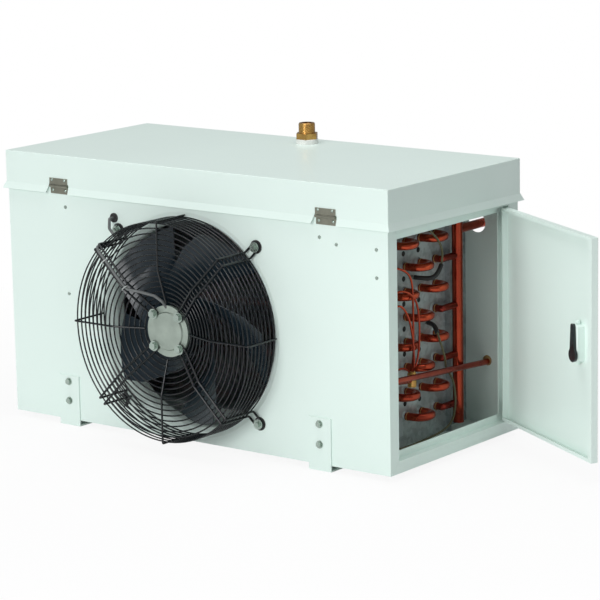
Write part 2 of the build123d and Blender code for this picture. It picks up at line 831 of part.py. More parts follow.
def drain_pan():
    """Folded pan, open below, with a skirt whose rim flares outwards."""
    long, deep = pan_right - pan_left, pan_rear - pan_front
    with BuildPart() as pan:
        plate(pan_left, pan_right, pan_front, pan_rear, rim_front - 3 * rim_drop, pan_top)
        fillet(pan.edges().filter_by(Axis.Z), 1.5)
        fillet(pan.faces().sort_by(Axis.Z)[-1].edges(), 1.5)
        plate_inside = (pan_left + pan_sheet, pan_right - pan_sheet, pan_front + pan_sheet,
                        pan_rear - pan_sheet)
        with Locations(((plate_inside[0] + plate_inside[1]) / 2, 0, (rim_front + pan_top) / 2 - 20)):
            Box(plate_inside[1] - plate_inside[0], plate_inside[3] - plate_inside[2],
                pan_top - rim_front + 40 - 2 * pan_sheet, mode=Mode.SUBTRACT)
        # straight wall ends at the fold line
        split(bisect_by=rim_plane(flare_height), keep=Keep.TOP)
        # flared skirt
        for grow, mode in ((0, Mode.ADD), (-2 * pan_sheet, Mode.SUBTRACT)):
            with BuildSketch(rim_plane(flare_height)):
                Rectangle(long + grow, deep + grow)
            with BuildSketch(rim_plane(0)):
                Rectangle(long + grow + 2 * pan_flare, deep + grow + 2 * pan_flare)
            loft(mode=mode)
        # the skirt is cut away round each hinge
        for x in hinge_places:
            with BuildSketch(Plane.XZ.offset(-pan_front + 12)):
                with BuildLine():
                    Polyline((x - pan_hinge_length / 2 - 9, rim_front - 4),
                             (x - pan_hinge_length / 2 - 2, pan_axis_z + 4),
                             (x + pan_hinge_length / 2 + 2, pan_axis_z + 4),
                             (x + pan_hinge_length / 2 + 4, rim_front - 4), close=True)
                make_face()
            extrude(amount=-16, mode=Mode.SUBTRACT)
        with Locations(Plane(origin=(drain_x, drain_y, pan_top), z_dir=(0, 0, 1))):
            Hole(drain_bore_r, 10)
    return pan.part


def drain_fitting():
    """Threaded brass outlet with a hexagon."""
    base = pan_top + washer_high
    with BuildPart() as fitting:
        with BuildSketch(Plane.XY.offset(base)):
            with Locations((drain_x, drain_y)):
                RegularPolygon(hex_flats / 2, 6, major_radius=False)
        extrude(amount=hex_high)
        with BuildSketch(Plane.XY.offset(base + hex_high)):
            with Locations((drain_x, drain_y)):
                Circle(thread_r)
        extrude(amount=thread_length)
        chamfer(fitting.faces().sort_by(Axis.Z)[-1].edges(), 1.0)
        with BuildSketch(Plane.XY.offset(pan_top - pan_sheet)):
            with Locations((drain_x, drain_y)):
                Circle(drain_bore_r)
        extrude(amount=washer_high + pan_sheet)
        with Locations((drain_x, drain_y, base + hex_high + thread_length)):
            Hole(drain_bore_r - 2.0)
    return fitting.part


def drain_washer():
    """White plastic nut and washer under the outlet."""
    with BuildPart() as washer:
        with BuildSketch(Plane.XY.offset(pan_top)):
            with Locations((drain_x, drain_y)):
                Circle(washer_r)
                Circle(drain_bore_r, mode=Mode.SUBTRACT)
        extrude(amount=washer_high)
        chamfer(washer.faces().sort_by(Axis.Z)[-1].edges().group_by(SortBy.LENGTH)[-1], 1.0)
    return washer.part


pan_pin_r, door_pin_r = 1.6, 1.3
side_gap = 0.15


def pan_hinge(x, on_pan):
    """One leaf of a pan hinge: the upper one on the pan, the lower one on the cabinet."""
    half = pan_hinge_length / 2
    middle = half / 3
    centre = (x, pan_axis_y, pan_axis_z)
    with BuildPart() as leaf:
        if on_pan:
            spans = [(-middle + side_gap, middle - side_gap)]
            plate(x - half, x + half, pan_front - pan_leaf, pan_front,
                  pan_axis_z + pan_knuckle_r + 0.4, pan_axis_z + pan_knuckle_r + pan_leaf_height)
            plate(x - middle + side_gap, x + middle - side_gap, pan_front - pan_leaf, pan_front,
                  pan_axis_z + pan_pin_r + 0.6, pan_axis_z + pan_knuckle_r + 1)
            bore = pan_pin_r + running
            hole_z, hole_y = pan_axis_z + pan_knuckle_r + pan_leaf_height - 4.5, pan_front
        else:
            spans = [(-half, -middle - side_gap), (middle + side_gap, half)]
            plate(x - half, x + half, front_y - pan_leaf, front_y,
                  pan_axis_z - pan_knuckle_r - pan_leaf_height, pan_axis_z - pan_knuckle_r - 0.4)
            for low, high in spans:
                plate(x + low, x + high, front_y - pan_leaf, front_y - 0.3,
                      pan_axis_z - pan_knuckle_r - 1, pan_axis_z - 1)
            bore = pan_pin_r
            hole_z, hole_y = pan_axis_z - pan_knuckle_r - 5.5, front_y
        for low, high in spans:
            with Locations(Location((0, 0, 0))):
                with BuildSketch(Plane(origin=(x + low, pan_axis_y, pan_axis_z), z_dir=(1, 0, 0))):
                    Circle(pan_knuckle_r)
                extrude(amount=high - low)
        with BuildSketch(Plane(origin=(x - half - 1, pan_axis_y, pan_axis_z), z_dir=(1, 0, 0))):
            Circle(bore)
        extrude(amount=pan_hinge_length + 2, mode=Mode.SUBTRACT)
    return leaf.part



def pins(centres, direction, length, radius):
    """Hinge pins."""
    with BuildPart() as rods:
        for centre in centres:
            start = Vector(*centre) - Vector(*direction) * (length / 2)
            with BuildSketch(Plane(origin=start, z_dir=direction)):
                Circle(radius)
            extrude(amount=length)
    return rods.part


# ---- door (drawn closed, then turned open about its hinge axis) ----------------------
door_axis = Axis((door_axis_x, door_axis_y, 0), (0, 0, 1))


def opened(part):
    """Turn a door piece from the closed place to the rest place."""
    return part.rotate(door_axis, door_turn)


def door_panel():
    """Door skin with deep returns and a lip turned in at the free edge."""
    outer, inner = cabinet_right, cabinet_right - door_thick
    with BuildPart() as door:
        plate(inner, outer, door_front, door_rear, door_bottom, door_top)
        fillet(door.edges().filter_by(Axis.X), 2)
        fillet(door.faces().sort_by(Axis.X)[-1].edges(), 1.4)
        with Locations(((inner + outer - skin) / 2 - 1, (door_front + door_rear) / 2, (door_bottom + door_top) / 2)):
            Box(door_thick - skin + 2, door_rear - door_front - 2 * skin, door_top - door_bottom - 2 * skin,
                mode=Mode.SUBTRACT)
        plate(inner, inner + skin, door_front + skin, door_front + skin + door_lip, door_bottom + skin, door_top - skin)
        plate(inner, inner + skin, door_front + skin, door_rear - skin, door_bottom + skin, door_bottom + skin + 5)
        plate(inner, inner + skin, door_front + skin, door_rear - skin, door_top - skin - 5, door_top - skin)
        with Locations(Plane(origin=(outer, latch_y, latch_z), z_dir=(1, 0, 0))):
            Hole(spindle_r + 0.5, 10)
    return opened(door.part)


def door_hinges(on_door):
    """Leaves of both door hinges on one side."""
    half = door_hinge_height / 2
    middle = half / 3
    with BuildPart() as leaves:
        for z in door_hinge_z:
            if on_door:
                spans = [(-middle + side_gap, middle - side_gap)]
                y0, y1 = door_rear, door_rear + door_leaf
            else:
                spans = [(-half, -middle - side_gap), (middle + side_gap, half)]
                y0, y1 = opening_rear - door_leaf, opening_rear
            plate(cabinet_right - door_thick + 2, cabinet_right - 0.4, y0, y1, z - half, z + half)
            for low, high in spans:
                plate(cabinet_right - 1, door_axis_x - door_pin_r - 0.2, y0, y1, z + low, z + high)
                with BuildSketch(Plane(origin=(door_axis_x, door_axis_y, z + low), z_dir=(0, 0, 1))):
                    Circle(door_knuckle_r)
                extrude(amount=high - low)
            with BuildSketch(Plane(origin=(door_axis_x, door_axis_y, z - half - 1), z_dir=(0, 0, 1))):
                Circle(door_pin_r + (running if on_door else 0))
            extrude(amount=door_hinge_height + 2, mode=Mode.SUBTRACT)
    return opened(leaves.part) if on_door else leaves.part


def latch_housing():
    """Cast housing of the latch on the inner face of the door."""
    wide, tall = latch_body
    back = cabinet_right - skin
    with BuildPart() as housing:
        plate(back - latch_deep, back, latch_y - wide / 2 + 4, latch_y + wide / 2 + 4,
              latch_z - 14, latch_z - 14 + tall)
        chamfer(housing.edges().filter_by(Axis.X), 4)
        chamfer(housing.faces().sort_by(Axis.X)[0].edges(), 1.5)
        with Locations((back - 7, latch_y + 4, latch_z - 14 + tall / 2)):
            Cylinder(3.0, tall + 12)
        for end in (latch_z - 14 - 5, latch_z - 14 + tall + 1):
            with BuildSketch(Plane.XY.offset(end)):
                with Locations((back - 7, latch_y + 4)):
                    RegularPolygon(5, 6)
            extrude(amount=4)
        with Locations(Plane(origin=(back - latch_deep, latch_y, latch_z), z_dir=(-1, 0, 0))):
            Hole(spindle_r + running)
    return opened(housing.part)


def latch_spindle():
    """Spindle and outside knob of the latch."""
    inner = cabinet_right - skin - latch_deep - lever_thick - 1
    with BuildPart() as spindle:
        with BuildSketch(Plane(origin=(inner, latch_y, latch_z), z_dir=(1, 0, 0))):
            Circle(spindle_r)
        extrude(amount=cabinet_right + 2 - inner)
        knob = cabinet_right + 0.5
        with BuildSketch(Plane.XY.offset(latch_z)):
            with BuildLine():
                Polyline((knob, latch_y), (knob, latch_y + 12), (knob + 5, latch_y + 12),
                         (knob + 8, latch_y + 9), (knob + 24, latch_y + 7.5), (knob + 24, latch_y), close=True)
            make_face()
        revolve(axis=Axis((0, latch_y, latch_z), (1, 0, 0)))
    return opened(spindle.part)


def latch_lever():
    """Black cam lever that swings behind the door stop."""
    face = cabinet_right - skin - latch_deep - 0.4
    with BuildPart() as lever:
        with BuildSketch(Plane(origin=(face, latch_y, latch_z), x_dir=(0, 1, 0), z_dir=(-1, 0, 0))):
            RegularPolygon(14, 16)
            with BuildLine():
                Polyline((-9, 0), (-5.5, -lever_length + 4), (-3, -lever_length), (4, -lever_length),
                         (6, -lever_length + 3), (10, 0), close=True)
            make_face()
            Circle(spindle_r, mode=Mode.SUBTRACT)
        extrude(amount=lever_thick)
    return opened(lever.part)


# ---- write every sub-part --------------------------------------------------------------
right_holes = [(suction_hole_x, suction_z, suction_hole_r), (liquid_hole_x, liquid_hole_z, liquid_hole_r)]
save(front_panel(), "front_panel")
save(end_panel_left(), "end_panel_left")
save(end_frame(), "end_frame")
save(base_panel(), "base_panel")
save(rear_wall(rear_wall_left_edge, cabinet_right - skin, right_holes), "rear_wall_right")
save(rear_wall(cabinet_left + skin, sheet_left + 15, []), "rear_wall_left")
save(rear_top_rail(cabinet_left + skin, cabinet_right - rebate_depth - 2 * skin), "rear_top_rail")
save(fin_pack(), "fin_pack")
save(coil_tubes(), "coil_tubes")
save(tube_sheet(sheet_right, 1), "tube_sheet_right")
save(tube_sheet(sheet_left, -1), "tube_sheet_left")
save(return_bends(tube_end_right, 1, right_joins), "return_bends_right")
save(return_bends(tube_end_left, -1, left_joins), "return_bends_left")
save(suction_header(), "suction_header")
save(header_branches(), "header_branches")
save(liquid_line(), "liquid_line")
save(distributor(), "distributor")
save(capillaries(), "capillaries")
save(inlet_cones(), "inlet_cones")
save(heater_rods(), "heater_rods")
save(heater_boots(), "heater_boots")
save(heater_leads(), "heater_leads")
save(terminal_block(), "terminal_block")
save(guard_front_rings(), "guard_front_rings")
save(guard_side_rings(), "guard_side_rings")
save(guard_spokes(), "guard_spokes")
save(guard_arms(), "guard_arms")
save(guard_feet(), "guard_feet")
save(guard_bolts(), "guard_bolts")
save(motor_flange(), "motor_flange")
save(stator(), "stator")
save(bearings(), "bearings")
save(motor_bolts(), "motor_bolts")
save(rotor_bell(), "rotor_bell")
save(shaft(), "shaft")
save(fan_blades(), "fan_blades")
save(motor_cable(), "motor_cable")
save(cable_grommet(), "cable_grommet")
save(hangers(), "hangers")
save(hanger_bolts(), "hanger_bolts")
save(panel_rivets(), "panel_rivets")
save(drain_pan(), "drain_pan")
save(drain_fitting(), "drain_fitting")
save(drain_washer(), "drain_washer")
save(pan_hinge(hinge_places[0], True), "pan_hinge_upper_left")
save(pan_hinge(hinge_places[1], True), "pan_hinge_upper_right")
save(pan_hinge(hinge_places[0], False), "pan_hinge_lower_left")
save(pan_hinge(hinge_places[1], False), "pan_hinge_lower_right")
save(pins([(x, pan_axis_y, pan_axis_z) for x in hinge_places], (1, 0, 0), pan_hinge_length, pan_pin_r),
     "pan_hinge_pins")
save(door_panel(), "door_panel")
save(door_hinges(True), "door_hinge_leaves")
save(door_hinges(False), "frame_hinge_leaves")
save(pins([(door_axis_x, door_axis_y, z) for z in door_hinge_z], (0, 0, 1), door_hinge_height, door_pin_r),
     "door_hinge_pins")
save(latch_housing(), "latch_housing")
save(latch_spindle(), "latch_spindle")
save(latch_lever(), "latch_lever")
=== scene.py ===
"""Looks of a walk-in unit cooler, laid out as an add-on and run as a script."""
import math

import bmesh
import bpy
from mathutils import Matrix, Vector


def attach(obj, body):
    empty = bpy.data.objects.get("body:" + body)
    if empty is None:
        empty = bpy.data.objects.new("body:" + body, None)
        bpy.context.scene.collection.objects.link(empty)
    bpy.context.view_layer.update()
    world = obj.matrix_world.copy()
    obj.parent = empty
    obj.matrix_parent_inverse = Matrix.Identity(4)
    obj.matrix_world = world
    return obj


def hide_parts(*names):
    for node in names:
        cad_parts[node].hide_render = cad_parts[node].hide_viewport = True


bl_info = {
    "name": "Unit cooler looks",
    "version": (1, 0, 0),
    "blender": (4, 5, 0),
    "location": "View3D > Sidebar > Cooler",
    "description": "Dresses a walk-in unit cooler with smooth wires, pipes, finishes and a studio",
    "category": "Object",
}

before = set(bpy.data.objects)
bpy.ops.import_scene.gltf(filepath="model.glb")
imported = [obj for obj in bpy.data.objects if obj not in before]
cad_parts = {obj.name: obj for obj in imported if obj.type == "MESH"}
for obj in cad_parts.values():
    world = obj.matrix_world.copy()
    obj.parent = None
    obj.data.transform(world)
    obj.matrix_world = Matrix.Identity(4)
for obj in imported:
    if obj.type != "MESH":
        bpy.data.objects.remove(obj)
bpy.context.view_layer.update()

MM = 0.001
FAN_AXIS = Vector((0.0, 1.0, 0.0))

# places shared by several pieces, in mm
FAN_Z = 248.0
FIRST_TUBE_Y, FIRST_TUBE_Z = -72.0, 74.0
SHEET_X = 382.5
TUBE_END_RIGHT, TUBE_END_LEFT = 388.5, -423.0
COLUMNS, ROWS = 4, 8

# nodes of the frame that share a finish
WHITE_NODES = (
    "front_panel", "end_panel_left", "end_frame", "base_panel", "rear_wall_right",
    "rear_wall_left", "rear_top_rail", "hangers", "drain_pan", "door_panel", "latch_housing",
)
STEEL_NODES = ("panel_rivets", "hanger_bolts", "guard_bolts", "motor_bolts", "shaft", "bearings")
PAN_HINGE_NODES = (
    "pan_hinge_upper_left", "pan_hinge_upper_right", "pan_hinge_lower_left",
    "pan_hinge_lower_right", "pan_hinge_pins",
)
DOOR_HINGE_NODES = ("door_hinge_leaves", "frame_hinge_leaves", "door_hinge_pins")


# ---- sizes and colours a user would change ----------------------------------------


def colour(name, text, red, green, blue):
    return bpy.props.FloatVectorProperty(
        name=name, description=text, subtype="COLOR", size=3, min=0.0, max=1.0,
        default=(red, green, blue))


def length(name, text, value):
    return bpy.props.FloatProperty(
        name=name, description=text, unit="LENGTH", default=value, min=0.0)


def angle(name, text, degrees):
    return bpy.props.FloatProperty(
        name=name, description=text, subtype="ANGLE", default=math.radians(degrees))


def watts(name, text, value):
    return bpy.props.FloatProperty(
        name=name, description=text, unit="POWER", default=value, min=0.0)


class CabinetColours(bpy.types.PropertyGroup):
    coat: colour("Coat", "Powder coat of the cabinet, pan and door", 0.80, 0.93, 0.875)
    gloss: bpy.props.FloatProperty(
        name="Roughness", description="Roughness of the powder coat", subtype="FACTOR",
        default=0.30, min=0.0, max=1.0)
    galvanised: colour("Galvanised", "Zinc sheet round the coil", 0.38, 0.41, 0.42)
    hinge: colour("Hinge metal", "Dull nickel of the hinges", 0.30, 0.30, 0.24)


class GuardSizes(bpy.types.PropertyGroup):
    wire: length("Ring wire", "Diameter of the ring wire", 0.003)
    strut: length("Arm wire", "Diameter of the arm wire", 0.0046)
    spoke: length("Spoke wire", "Diameter of the spoke wire", 0.0040)
    outer: length("Outer radius", "Radius of the outermost ring", 0.2188)
    inner: length("Inner radius", "Radius of the innermost ring", 0.059)
    ring_pitch: length("Ring pitch", "Spacing of the front rings", 0.0106)
    tip: length("Cone tip", "Radius where the cone round the motor starts", 0.057)
    rise: length("Cone radius", "Radius where the cone meets the flat front", 0.126)
    dish_depth: length("Cone depth", "How far the cone's tip lies behind the front", 0.0225)
    front: bpy.props.FloatProperty(
        name="Front", description="Y of the guard's front face", unit="LENGTH", default=-0.3075)
    side_pitch: length("Side pitch", "Spacing of the side rings", 0.0114)
    side_rings: bpy.props.IntProperty(
        name="Side rings", description="Number of rings round the side", default=7, min=1)
    colour: colour("Wire coat", "Black coat of the guard wires", 0.0018, 0.0045, 0.0060)


class CoilSizes(bpy.types.PropertyGroup):
    tube: length("Tube radius", "Outer radius of the coil tubes", 0.008)
    pitch: length("Tube pitch", "Square spacing of the tubes", 0.050)
    copper: colour("Copper", "Clean copper", 0.56, 0.080, 0.030)
    tarnish: colour("Tarnish", "Heat-darkened copper", 0.13, 0.012, 0.016)


class StudioSettings(bpy.types.PropertyGroup):
    azimuth: angle("Azimuth", "Camera's turn about the object", 37.76)
    elevation: angle("Elevation", "Camera's height above the horizon", 11.74)
    roll: angle("Roll", "Camera's tilt", -1.1)
    place: bpy.props.FloatVectorProperty(
        name="Place", description="Where the camera stands", subtype="TRANSLATION",
        default=(3.4703, -4.3392, 1.4134))
    lens: bpy.props.FloatProperty(
        name="Lens", description="Focal length on a 36 mm sensor", unit="CAMERA", default=166.63)
    key: watts("Key light", "Power of the key light", 388.0)
    door: watts("Door light", "Power of the spot on the door", 360.0)
    overhead: watts("Overhead light", "Power of the light above", 66.0)
    sky: bpy.props.FloatProperty(
        name="Room light", description="Strength of the room's light", default=0.285, min=0.0)


# ---- shader maths ------------------------------------------------------------------


class Link:
    """A socket that can be used in expressions; each operation adds a Math node."""

    def __init__(self, finish, socket):
        self.finish = finish
        self.socket = socket

    def _math(self, operation, first, second):
        node = self.finish.node("ShaderNodeMath", {"operation": operation}, {0: first, 1: second})
        return Link(self.finish, node.outputs[0])

    def __add__(self, other):
        return self._math("ADD", self, other)

    def __radd__(self, other):
        return self._math("ADD", other, self)

    def __mul__(self, other):
        return self._math("MULTIPLY", self, other)

    def __rmul__(self, other):
        return self._math("MULTIPLY", other, self)


class Finish:
    """A material under construction."""

    SOCKETS = {"base": "Base Color", "rough": "Roughness", "metal": "Metallic",
               "coat": "Coat Weight", "coat_rough": "Coat Roughness"}

    def __init__(self, name):
        self.material = bpy.data.materials.new(name)
        self.material.use_nodes = True
        self.tree = self.material.node_tree
        self.shader = self.tree.nodes["Principled BSDF"]
        self.output = self.tree.nodes["Material Output"]
        self.place = None

    def node(self, kind, settings=None, sockets=None):
        """One node: its settings first, then the values or links of its sockets."""
        node = self.tree.nodes.new(kind)
        for key, value in (settings or {}).items():
            setattr(node, key, value)
        for key, value in (sockets or {}).items():
            self.put(node.inputs[key], value)
        return node

    def put(self, socket, value):
        """A link where the value is one, and otherwise the socket's own value."""
        if isinstance(value, Link):
            value = value.socket
        if isinstance(value, bpy.types.NodeSocket):
            self.tree.links.new(value, socket)
        else:
            socket.default_value = value

    def where(self):
        """Object coordinates, in metres."""
        if self.place is None:
            self.place = self.node("ShaderNodeTexCoord").outputs["Object"]
        return self.place

    def stretched(self, x, y, z):
        """Object coordinates scaled along each axis."""
        return self.node("ShaderNodeMapping", {}, {
            "Vector": self.where(), "Scale": (x, y, z)}).outputs[0]

    def noise(self, scale, detail=3.0, roughness=0.55, vector=None):
        node = self.node("ShaderNodeTexNoise", {}, {
            "Vector": vector or self.where(), "Scale": scale, "Detail": detail,
            "Roughness": roughness})
        return Link(self, node.outputs["Fac"])

    def spread(self, link, low, high, to_low=0.0, to_high=1.0):
        """A link's range from low to high, mapped and held between two values."""
        node = self.node("ShaderNodeMapRange", {}, {
            "Value": link, "From Min": low, "From Max": high, "To Min": to_low,
            "To Max": to_high})
        return Link(self, node.outputs[0])

    def mix(self, share, first, second):
        """Two colours, mixed by a share from 0 to 1."""
        node = self.node("ShaderNodeMix", {"data_type": "RGBA"}, {
            0: share, 6: as_tone(first), 7: as_tone(second)})
        return node.outputs[2]

    def bump(self, height, strength, distance):
        node = self.node("ShaderNodeBump", {}, {
            "Height": height, "Strength": strength, "Distance": distance})
        self.put(self.shader.inputs["Normal"], node.outputs[0])

    def set(self, **values):
        for key, value in values.items():
            socket = self.shader.inputs[self.SOCKETS[key]]
            self.put(socket, as_tone(value) if key == "base" else value)


def as_tone(value):
    """A colour as four numbers; links pass through."""
    if isinstance(value, (Link, bpy.types.NodeSocket)):
        return value
    return (value[0], value[1], value[2], 1.0)


def shade(tone, share):
    """A colour made darker or lighter."""
    return [part * share for part in tone]


# ---- finishes ----------------------------------------------------------------------


def powder_coat(f):
    look = bpy.context.scene.cooler_cabinet
    fine = f.noise(2600.0, 2.0)
    broad = f.noise(3.0, 2.0)
    base = f.mix(f.spread(broad, 0.3, 0.7), look.coat, shade(look.coat, 0.97))
    f.set(base=base, rough=f.spread(fine, 0.3, 0.7, look.gloss - 0.04, look.gloss + 0.05))
    f.bump(fine, 0.05, 0.0004)


def galvanised(f):
    zinc = bpy.context.scene.cooler_cabinet.galvanised
    cells = f.node("ShaderNodeTexVoronoi", {}, {"Vector": f.where(), "Scale": 120.0})
    spangle = f.node("ShaderNodeSeparateColor", {}, {0: cells.outputs["Color"]}).outputs[0]
    dull = f.noise(14.0, 4.0)
    base = f.mix(Link(f, spangle), zinc, shade(zinc, 1.35))
    base = f.mix(f.spread(dull, 0.45, 0.75, 0.0, 0.5), base, (0.12, 0.12, 0.11))
    f.set(base=base, metal=0.75, rough=f.spread(dull, 0.3, 0.7, 0.38, 0.56))


def copper_tube(f, dark):
    """Copper with heat marks; dark is the least share of tarnish."""
    look = bpy.context.scene.cooler_coil
    cloud = f.noise(15.0, 2.0, 0.5)
    streak = f.noise(7.0, 2.0, 0.5, f.stretched(1.0, 1.0, 0.5))
    share = f.spread(cloud * 0.6 + streak * 0.4, 0.36, 0.66, dark, dark + 0.45)
    f.set(base=f.mix(share, look.copper, look.tarnish), metal=0.86,
          rough=f.spread(cloud, 0.3, 0.7, 0.17, 0.30))


def plain(f, base, rough=0.4, metal=0.0, coat=0.0):
    """One tone with slight wear in its colour and roughness."""
    wear = f.noise(60.0, 3.0)
    tone = f.mix(f.spread(wear, 0.35, 0.65), base, shade(base, 0.88))
    f.set(base=tone, rough=f.spread(wear, 0.3, 0.7, rough * 0.9, rough * 1.12), metal=metal)
    if coat:
        f.set(coat=coat, coat_rough=0.08)


def motor_casting(f):
    grain = f.noise(700.0, 3.0)
    broad = f.noise(22.0, 3.0)
    base = f.mix(f.spread(broad, 0.35, 0.7), (0.49, 0.57, 0.50), (0.37, 0.43, 0.38))
    f.set(base=base, metal=0.85, rough=f.spread(broad, 0.3, 0.7, 0.34, 0.5))
    f.bump(grain, 0.12, 0.0005)


def brass(f):
    wear = f.noise(50.0, 4.0)
    base = f.mix(f.spread(wear, 0.35, 0.65), (0.62, 0.36, 0.11), (0.38, 0.20, 0.06))
    f.set(base=base, metal=0.95, rough=f.spread(wear, 0.3, 0.7, 0.22, 0.36))


RECIPES = {
    "powder_coat": powder_coat,
    "galvanised": galvanised,
    "motor_casting": motor_casting,
    "brass": brass,
    "copper_bends": lambda f: copper_tube(f, 0.05),
    "copper_pipe": lambda f: copper_tube(f, 0.22),
    "copper_dark": lambda f: copper_tube(f, 0.45),
    "wire_coat": lambda f: plain(f, bpy.context.scene.cooler_guard.colour, 0.14),
    "hinge_metal": lambda f: plain(f, bpy.context.scene.cooler_cabinet.hinge, 0.32, 0.8),
    "hinge_zinc": lambda f: plain(f, (0.50, 0.56, 0.53), 0.34, 0.35),
    "zinc_steel": lambda f: plain(f, (0.47, 0.56, 0.50), 0.26, 0.95),
    "fins": lambda f: plain(f, (0.62, 0.64, 0.66), 0.35, 0.9),
    "braze": lambda f: plain(f, (0.50, 0.30, 0.12), 0.35, 0.7),
    "bell_black": lambda f: plain(f, (0.006, 0.008, 0.011), 0.3),
    "blade_black": lambda f: plain(f, (0.013, 0.024, 0.034), 0.22),
    # painted shade: near black for the discs that stand for the shaded inside of the tube sheet's
    # slots
    "slot_painted_shade": lambda f: plain(f, (0.004, 0.004, 0.004), 0.8),
    "rubber": lambda f: plain(f, (0.02, 0.02, 0.02), 0.55),
    "grommet_amber": lambda f: plain(f, (0.42, 0.27, 0.10), 0.45),
    "lead_sheath": lambda f: plain(f, (0.12, 0.11, 0.05), 0.4),
    "cable_sheath": lambda f: plain(f, (0.13, 0.14, 0.14), 0.42),
    "tie_nylon": lambda f: plain(f, (0.62, 0.66, 0.64), 0.35),
    "block_plastic": lambda f: plain(f, (0.55, 0.55, 0.48), 0.45),
    "white_plastic": lambda f: plain(f, (0.82, 0.83, 0.80), 0.4),
    "black_moulding": lambda f: plain(f, (0.015, 0.018, 0.02), 0.22, 0.0, 0.5),
}
made_finishes = {}


def finish(name):
    """The material of this name, made when it is first asked for."""
    if name not in made_finishes:
        f = Finish(name)
        RECIPES[name](f)
        made_finishes[name] = f.material
    return made_finishes[name]


def coat(obj, name):
    obj.data.materials.clear()
    obj.data.materials.append(finish(name))


def dress(nodes, name):
    """Give a finish to nodes of the frame."""
    for node in nodes:
        coat(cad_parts[node], name)


# ---- shapes ------------------------------------------------------------------------


def keep(obj, body, name, nodes=()):
    """Place a finished piece on its body, with its finish."""
    coat(obj, name)
    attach(obj, body)
    if nodes:
        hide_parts(*nodes)


def linked(name, data):
    obj = bpy.data.objects.new(name, data)
    bpy.context.scene.collection.objects.link(obj)
    return obj


def from_bmesh(name, bm, smooth=True):
    """A piece from a bmesh, with its doubles merged and its faces outwards."""
    bmesh.ops.remove_doubles(bm, verts=bm.verts, dist=1e-6)
    bmesh.ops.recalc_face_normals(bm, faces=bm.faces)
    mesh = bpy.data.meshes.new(name)
    bm.to_mesh(mesh)
    bm.free()
    if smooth:
        mesh.shade_smooth()
    return linked(name, mesh)


def joined(name, runs, radius, sides=10, order=3, soft=4):
    """Round wires along soft paths through control points in mm, as one mesh."""
    curve = bpy.data.curves.new(name + "_path", "CURVE")
    curve.dimensions = "3D"
    curve.resolution_u = soft
    curve.bevel_depth = radius
    curve.bevel_resolution = max(0, sides // 2 - 2)
    curve.use_fill_caps = True
    for run in runs:
        spline = curve.splines.new("NURBS")
        spline.points.add(len(run) - 1)
        for point, place in zip(spline.points, run):
            point.co = (*(Vector(place) * MM), 1.0)
        spline.order_u = order
        spline.use_endpoint_u = True
        spline.resolution_u = soft
    holder = linked(name + "_path", curve)
    bpy.context.view_layer.update()
    solid = holder.evaluated_get(bpy.context.evaluated_depsgraph_get())
    mesh = bpy.data.meshes.new_from_object(solid)
    bpy.data.objects.remove(holder)
    mesh.name = name
    mesh.shade_smooth()
    return linked(name, mesh)


def rounded(run, reach=6.0):
    """Control points doubled near each corner, so a soft path keeps its straight runs."""
    points = [Vector(p) for p in run]
    result = [points[0]]
    for before, here, after in zip(points, points[1:], points[2:]):
        back, on = before - here, after - here
        result += [
            here + back.normalized() * min(reach, back.length * 0.45),
            here,
            here + on.normalized() * min(reach, on.length * 0.45)]
    result.append(points[-1])
    return result


def add_ring(bm, centre, axis, radius, thick, steps, sides):
    """A closed ring of round wire, spun about its axis."""
    axis = Vector(axis).normalized()
    side = axis.orthogonal().normalized()
    turn = Matrix((side, axis, axis.cross(side))).transposed().to_4x4()
    place = Matrix.Translation(Vector(centre) + side * radius) @ turn
    made = bmesh.ops.create_circle(bm, segments=sides, radius=thick, matrix=place)
    edges = list({edge for vert in made["verts"] for edge in vert.link_edges})
    bmesh.ops.spin(bm, geom=edges + made["verts"], cent=centre, axis=axis, angle=2 * math.pi,
                   steps=steps, use_merge=True)


def add_turned(bm, centre, axis, profile, steps):
    """A solid turned about an axis from (radius, height) pairs in mm."""
    axis = Vector(axis).normalized()
    side = axis.orthogonal().normalized()
    verts = [bm.verts.new(Vector(centre) + (side * out + axis * up) * MM) for out, up in profile]
    edges = [bm.edges.new(pair) for pair in zip(verts, verts[1:])]
    bmesh.ops.spin(bm, geom=verts + edges, cent=centre, axis=axis, angle=2 * math.pi, steps=steps,
                   use_merge=True)


def add_disc(bm, centre, radius, sides, filled):
    """A circle that faces along X; returns its vertices."""
    place = Matrix.Translation(centre) @ Matrix.Rotation(math.pi / 2, 4, "Y")
    return bmesh.ops.create_circle(
        bm, cap_ends=filled, segments=sides, radius=radius, matrix=place)["verts"]


def turned_out(degrees, out, across, y):
    """A point of the guard: turn about the fan axis, radius, sideways, depth (mm)."""
    turn = math.radians(degrees)
    return (out * math.cos(turn) - across * math.sin(turn), y,
            FAN_Z + out * math.sin(turn) + across * math.cos(turn))


# ---- cabinet and motor -------------------------------------------------------------


class OBJECT_OT_cooler_cabinet(bpy.types.Operator):
    """Finishes of the cabinet, pan, door, tube sheets, fins and bolts"""

    bl_idname = "object.cooler_cabinet"
    bl_label = "Cabinet coat"
    bl_options = {"REGISTER", "UNDO"}

    def execute(self, context):
        dress(WHITE_NODES, "powder_coat")
        dress(("tube_sheet_right", "tube_sheet_left"), "galvanised")
        dress(("fin_pack",), "fins")
        dress(STEEL_NODES, "zinc_steel")
        return {"FINISHED"}


class OBJECT_OT_cooler_motor(bpy.types.Operator):
    """Finishes of the motor and blades"""

    bl_idname = "object.cooler_motor"
    bl_label = "Motor and fan"
    bl_options = {"REGISTER", "UNDO"}

    def execute(self, context):
        dress(("motor_flange", "stator"), "motor_casting")
        dress(("rotor_bell",), "bell_black")
        dress(("fan_blades",), "blade_black")
        return {"FINISHED"}


# ---- fan guard ---------------------------------------------------------------------

RING_STEPS, RING_SIDES = 96, 8
SPOKE_START, SPOKE_END_Y = 56.0, -224.0
ARM_START, ARM_HALF_GAP = 41.0, 8.0
FOOT_OUT, FOOT_Y = 249.0, -225.3


